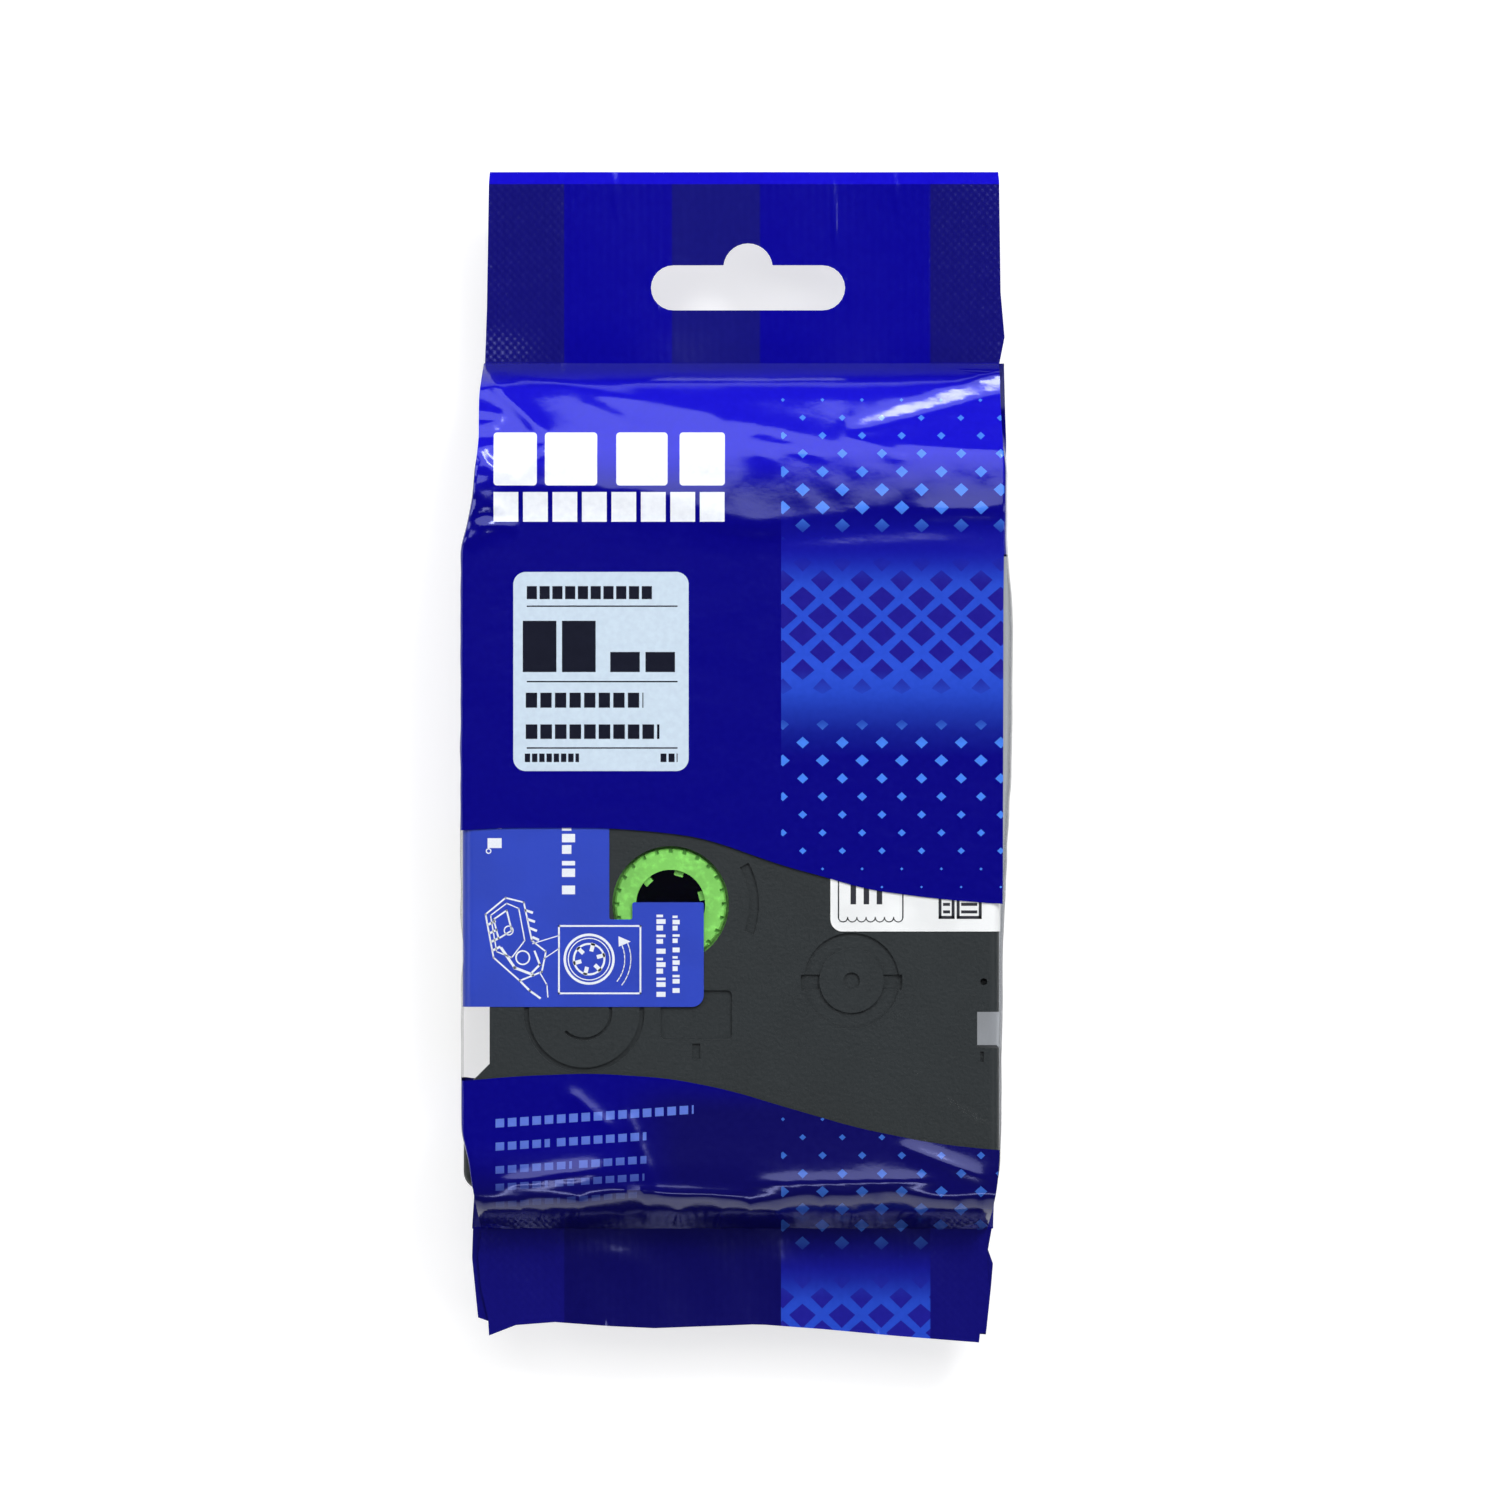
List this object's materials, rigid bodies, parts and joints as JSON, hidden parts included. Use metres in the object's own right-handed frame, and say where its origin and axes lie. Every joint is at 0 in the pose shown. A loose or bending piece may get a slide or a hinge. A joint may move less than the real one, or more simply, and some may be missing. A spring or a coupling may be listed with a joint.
{
  "type": "label tape cassette in a hanging film pack",
  "caption": "Label tape cassette with its reels, tapes and ink ribbon in a two-part case, sealed in a printed gusseted film pack with a hang slot.",
  "frame": {"origin": "middle of the pack's bounding box, at the height of its lowest face, the outside of the folded back seal that it lies on", "axes": "+Z out of the front of the pack, +Y from the foot seal towards the hang slot, +X to the right as seen from the front"},
  "size_m": [0.055, 0.117, 0.0168],
  "materials": {
    "printed_film": "thin glossy packing film with translucent blue print and a clear window",
    "case_plastic": "fine spark-eroded dark grey moulded case plastic",
    "white_core_plastic": "plain white moulded spool",
    "white_tape": "wound white adhesive tape with its release liner",
    "spacer_film": "slippery thin film disc",
    "clear_tape": "wound clear polyester film",
    "grey_core_plastic": "plain grey moulded spool",
    "ink_ribbon": "glossy black ink ribbon",
    "spring_steel": "bright flat spring wire",
    "green_plastic": "green moulded spool with a serrated rim",
    "roller_rubber": "moulded ribbed feed roller",
    "blue_label_paper": "satin printed blue label",
    "white_label_paper": "satin white label"
  },
  "bodies": {
    "root": {"film_pack": "printed_film", "bottom_case": "case_plastic", "top_case": "case_plastic", "ribbon_clutch_spring": "spring_steel", "take_up_clutch_spring": "spring_steel", "clear_film_run": "clear_tape", "adhesive_tape_run": "white_tape", "ink_ribbon_run": "ink_ribbon", "laminated_leader": "white_tape", "instruction_sticker": "blue_label_paper", "type_label": "white_label_paper"},
    "adhesive_reel": {"adhesive_spool": "white_core_plastic", "adhesive_tape_roll": "white_tape", "lower_spacer": "spacer_film", "upper_spacer": "spacer_film"},
    "clear_film_reel": {"clear_film_spool": "white_core_plastic", "clear_film_roll": "clear_tape"},
    "ribbon_reel": {"ribbon_spool": "grey_core_plastic", "ink_ribbon_roll": "ink_ribbon"},
    "take_up_reel": {"take_up_spool": "green_plastic", "used_ribbon_turns": "ink_ribbon"},
    "feed_roller": {"feed_roller": "roller_rubber"}
  },
  "joints": [
    {"name": "adhesive_reel_spin", "type": "hinge", "parent": "root", "child": "adhesive_reel", "pos_m": [0.0062, 0.0098, 0.0088], "axis": [0, 0, 1], "continuous": true},
    {"name": "clear_film_reel_spin", "type": "hinge", "parent": "root", "child": "clear_film_reel", "pos_m": [0.0114, -0.0222, 0.0088], "axis": [0, 0, 1], "continuous": true},
    {"name": "feed_roller_spin", "type": "hinge", "parent": "root", "child": "feed_roller", "pos_m": [-0.02, 0.019, 0.0088], "axis": [0, 0, 1], "continuous": true},
    {"name": "take_up_spin", "type": "hinge", "parent": "root", "child": "take_up_reel", "pos_m": [-0.0066, -0.0146, 0.0088], "axis": [0, 0, 1], "continuous": true},
    {"name": "ribbon_reel_spin", "type": "hinge", "parent": "root", "child": "ribbon_reel", "pos_m": [-0.0152, -0.02535, 0.0088], "axis": [0, 0, 1], "continuous": true}
  ],
  "couplings": [
    {"joint": "clear_film_reel_spin", "follows": "adhesive_reel_spin", "ratio": -1.6034},
    {"joint": "feed_roller_spin", "follows": "adhesive_reel_spin", "ratio": -4.0435},
    {"joint": "ribbon_reel_spin", "follows": "take_up_spin", "ratio": -0.7857}
  ]
}
